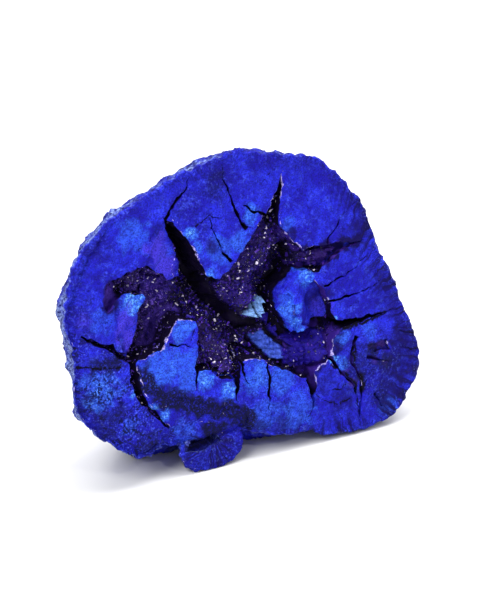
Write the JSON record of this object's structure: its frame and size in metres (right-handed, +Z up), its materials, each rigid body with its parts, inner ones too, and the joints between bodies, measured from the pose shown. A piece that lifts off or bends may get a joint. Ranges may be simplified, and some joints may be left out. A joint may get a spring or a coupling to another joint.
{
  "type": "azurite specimen",
  "caption": "Half of a deep blue azurite nodule, its broken face split by star-shaped cracks into a hollow lined with small dark crystals",
  "frame": {"origin": "On the ground, under the middle of the specimen's outline seen from above", "axes": "+Z up, +X along the broken face to the right, -Y towards the viewer in front of the broken face"},
  "size_m": [0.06, 0.0246, 0.0484],
  "materials": {
    "azurite": "granular deep blue mineral, dull to satin",
    "azurite_crystal": "bright glassy crystal faces, almost black blue"
  },
  "bodies": {
    "root": {"nodule": "azurite", "crystal_crust": "azurite_crystal"}
  },
  "joints": []
}
